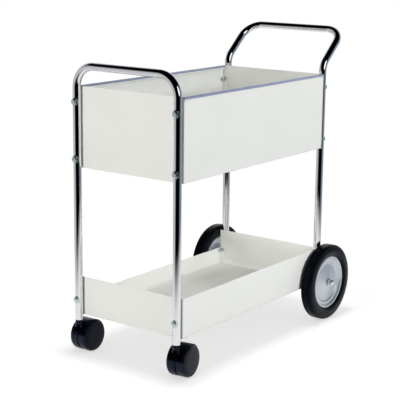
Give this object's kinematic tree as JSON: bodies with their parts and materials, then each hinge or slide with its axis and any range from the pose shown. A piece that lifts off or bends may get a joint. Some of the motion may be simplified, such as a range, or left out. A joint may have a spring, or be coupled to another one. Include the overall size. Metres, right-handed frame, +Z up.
{
  "type": "mail cart",
  "caption": "Mail cart with a deep upper and a shallow lower sheet-metal basket on a chrome tube frame, large rear wheels and swivelling twin-wheel casters.",
  "frame": {"origin": "on the floor, in the middle of the cart's width and of its whole length from the front screw heads to the back of the push handle", "axes": "+X to the cart's right seen from behind the casters looking towards the handle, +Y from the caster end towards the handle end, +Z up"},
  "size_m": [0.5284, 0.9451, 0.996],
  "materials": {
    "chrome": "bright chrome plate",
    "painted_sheet": "light warm grey powder coat, fine texture",
    "satin_rail": "satin",
    "zinc_hardware": "bright zinc plate",
    "tyre": "moulded black rubber",
    "wheel_disc": "pressed zinc-plated steel",
    "black_plastic": "moulded black plastic"
  },
  "bodies": {
    "cart": {"front_frame": "chrome", "rear_frame": "chrome", "upper_tray": "painted_sheet", "upper_front_panel": "painted_sheet", "upper_rear_panel": "painted_sheet", "left_file_rail": "satin_rail", "right_file_rail": "satin_rail", "lower_tray": "painted_sheet", "lower_front_panel": "painted_sheet", "lower_rear_panel": "painted_sheet", "screw_front_left_upper": "zinc_hardware", "screw_front_left_middle": "zinc_hardware", "screw_front_left_lower": "zinc_hardware", "screw_front_right_upper": "zinc_hardware", "screw_front_right_middle": "zinc_hardware", "screw_front_right_lower": "zinc_hardware", "screw_rear_left_upper": "zinc_hardware", "screw_rear_left_middle": "zinc_hardware", "screw_rear_left_lower": "zinc_hardware", "screw_rear_right_upper": "zinc_hardware", "screw_rear_right_middle": "zinc_hardware", "screw_rear_right_lower": "zinc_hardware", "nut_front_left_upper": "zinc_hardware", "nut_front_left_middle": "zinc_hardware", "nut_front_left_lower": "zinc_hardware", "nut_front_right_upper": "zinc_hardware", "nut_front_right_middle": "zinc_hardware", "nut_front_right_lower": "zinc_hardware", "nut_rear_left_upper": "zinc_hardware", "nut_rear_left_middle": "zinc_hardware", "nut_rear_left_lower": "zinc_hardware", "nut_rear_right_upper": "zinc_hardware", "nut_rear_right_middle": "zinc_hardware", "nut_rear_right_lower": "zinc_hardware", "rear_axle": "zinc_hardware", "axle_washer_left": "zinc_hardware", "axle_washer_right": "zinc_hardware", "axle_cap_left": "chrome", "axle_cap_right": "chrome", "caster_socket_left": "black_plastic", "caster_socket_right": "black_plastic", "caster_stem_left": "zinc_hardware", "caster_stem_right": "zinc_hardware"},
    "rear_wheel_left": {"rear_tyre_left": "tyre", "wheel_outer_disc_left": "wheel_disc", "wheel_inner_disc_left": "wheel_disc", "wheel_hub_left": "zinc_hardware"},
    "rear_wheel_right": {"rear_tyre_right": "tyre", "wheel_outer_disc_right": "wheel_disc", "wheel_inner_disc_right": "wheel_disc", "wheel_hub_right": "zinc_hardware"},
    "caster_left": {"caster_hood_left": "black_plastic", "caster_axle_left": "zinc_hardware"},
    "caster_left_left_wheel": {"caster_wheel_left_left": "black_plastic"},
    "caster_left_right_wheel": {"caster_wheel_left_right": "black_plastic"},
    "caster_right": {"caster_hood_right": "black_plastic", "caster_axle_right": "zinc_hardware"},
    "caster_right_left_wheel": {"caster_wheel_right_left": "black_plastic"},
    "caster_right_right_wheel": {"caster_wheel_right_right": "black_plastic"}
  },
  "joints": [
    {"name": "rear_wheel_left_spin", "type": "hinge", "parent": "cart", "child": "rear_wheel_left", "pos_m": [-0.2304, 0.3352, 0.13], "axis": [1, 0, 0], "continuous": true},
    {"name": "rear_wheel_right_spin", "type": "hinge", "parent": "cart", "child": "rear_wheel_right", "pos_m": [0.2304, 0.3352, 0.13], "axis": [1, 0, 0], "continuous": true},
    {"name": "caster_left_swivel", "type": "hinge", "parent": "cart", "child": "caster_left", "pos_m": [-0.1935, -0.4558, 0.106], "axis": [0, 0, 1], "continuous": true},
    {"name": "caster_left_left_wheel_spin", "type": "hinge", "parent": "caster_left", "child": "caster_left_left_wheel", "pos_m": [-0.19419, -0.41621, 0.0503], "axis": [0.9998, 0.0175, 0], "continuous": true},
    {"name": "caster_left_right_wheel_spin", "type": "hinge", "parent": "caster_left", "child": "caster_left_right_wheel", "pos_m": [-0.19419, -0.41621, 0.0503], "axis": [0.9998, 0.0175, 0], "continuous": true},
    {"name": "caster_right_swivel", "type": "hinge", "parent": "cart", "child": "caster_right", "pos_m": [0.1935, -0.4558, 0.106], "axis": [0, 0, 1], "continuous": true},
    {"name": "caster_right_left_wheel_spin", "type": "hinge", "parent": "caster_right", "child": "caster_right_left_wheel", "pos_m": [0.18867, -0.4165, 0.0503], "axis": [0.9925, 0.1219, 0], "continuous": true},
    {"name": "caster_right_right_wheel_spin", "type": "hinge", "parent": "caster_right", "child": "caster_right_right_wheel", "pos_m": [0.18867, -0.4165, 0.0503], "axis": [0.9925, 0.1219, 0], "continuous": true}
  ]
}
